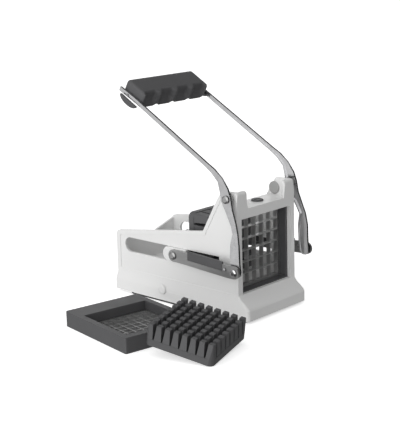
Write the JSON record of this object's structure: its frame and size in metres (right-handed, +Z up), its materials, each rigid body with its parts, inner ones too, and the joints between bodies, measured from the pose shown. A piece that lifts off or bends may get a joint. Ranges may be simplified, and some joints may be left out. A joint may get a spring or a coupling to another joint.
{
  "type": "vegetable dicer",
  "caption": "Hand-lever vegetable dicer with a white suction-base body, chromed arms, dark grip, square blade insert and pusher, and a loose spare insert with its pusher head",
  "frame": {"origin": "centre of the suction pad's flat underside, on the table", "axes": "+X to the object's right seen from its front, -Y towards the front where the cut sticks leave, +Z up"},
  "size_m": [0.2512, 0.2538, 0.2444],
  "materials": {
    "white_plastic": "moulded, satin to light gloss",
    "dark_plastic": "moulded, fine matt grain",
    "black_rubber": "smooth soft rubber",
    "soft_grip": "soft-touch rubber",
    "chrome": "bright plated",
    "brushed_steel": "brushed along the length",
    "grey_nylon": "plain moulded nylon"
  },
  "bodies": {
    "frame": {"housing": "white_plastic", "base_cover": "white_plastic", "cover_screw_1": "brushed_steel", "cover_screw_2": "brushed_steel", "cover_screw_3": "brushed_steel", "cover_screw_4": "brushed_steel", "suction_pad": "black_rubber", "cassette_six": "dark_plastic", "blade_grid_six": "brushed_steel", "wing_plug_left": "grey_nylon", "wing_plug_right": "grey_nylon", "pivot_pin_left": "brushed_steel", "pivot_pin_right": "brushed_steel", "pivot_bush_left": "grey_nylon", "pivot_bush_right": "grey_nylon"},
    "handle": {"grip": "soft_grip", "grip_rod": "brushed_steel", "arm_left": "chrome", "arm_right": "chrome", "grip_end_cap_left": "dark_plastic", "grip_end_cap_right": "dark_plastic"},
    "pusher": {"pusher_head_six": "dark_plastic", "pusher_carriage": "dark_plastic", "pusher_axle": "brushed_steel", "slide_shoe_left": "white_plastic", "slide_shoe_right": "white_plastic", "head_screw_left": "brushed_steel", "head_screw_right": "brushed_steel"},
    "link_l": {"link_left": "brushed_steel", "link_insert_left": "dark_plastic", "front_rivet_left": "chrome", "stop_pin_left": "chrome"},
    "link_r": {"link_right": "brushed_steel", "link_insert_right": "dark_plastic", "front_rivet_right": "chrome", "stop_pin_right": "chrome"},
    "suction_drive": {"cam_shaft": "brushed_steel", "shaft_button": "white_plastic", "suction_lever": "dark_plastic"},
    "stem": {"suction_stem": "brushed_steel"},
    "knob": {"grid_lock_knob": "dark_plastic"},
    "spare_insert": {"spare_cassette_eight": "dark_plastic", "spare_blade_grid_eight": "brushed_steel"},
    "spare_head": {"spare_pusher_head_eight": "dark_plastic"}
  },
  "joints": [
    {"name": "handle_press", "type": "hinge", "parent": "frame", "child": "handle", "pos_m": [0, -0.1025, 0.1318], "axis": [1, 0, 0], "range_deg": [-38.7, 0]},
    {"name": "pusher_slide", "type": "slide", "parent": "frame", "child": "pusher", "axis": [0, 1, 0], "range_m": [-0.0462, 0]},
    {"name": "link_left_tilt", "type": "hinge", "parent": "pusher", "child": "link_l", "pos_m": [0, -0.0205, 0.0581], "axis": [1, 0, 0], "range_deg": [-15.02, 0]},
    {"name": "link_right_tilt", "type": "hinge", "parent": "pusher", "child": "link_r", "pos_m": [0, -0.0205, 0.0581], "axis": [1, 0, 0], "range_deg": [-15.02, 0]},
    {"name": "suction_lever_turn", "type": "hinge", "parent": "frame", "child": "suction_drive", "pos_m": [0, 0, 0.0155], "axis": [1, 0, 0], "range_deg": [0, 90]},
    {"name": "stem_lift", "type": "slide", "parent": "frame", "child": "stem", "axis": [0, 0, 1], "range_m": [0, 0.0017]},
    {"name": "knob_turn", "type": "hinge", "parent": "frame", "child": "knob", "pos_m": [0.004, -0.0944, 0.1189], "axis": [0, 0, 1], "range_deg": [0, 90]},
    {"name": "spare_insert_slide_out", "type": "slide", "parent": "frame", "child": "spare_insert", "axis": [0.1761, 0.9844, 0], "range_m": [0, 0.08]},
    {"name": "spare_head_lift", "type": "slide", "parent": "frame", "child": "spare_head", "axis": [0, 0, 1], "range_m": [0, 0.12]}
  ],
  "couplings": [
    {"joint": "pusher_slide", "follows": "handle_press", "m_per_rad": 0.0684},
    {"joint": "link_left_tilt", "follows": "handle_press", "ratio": 0.388},
    {"joint": "link_right_tilt", "follows": "handle_press", "ratio": 0.388},
    {"joint": "stem_lift", "follows": "suction_lever_turn", "m_per_rad": 0.00108}
  ]
}
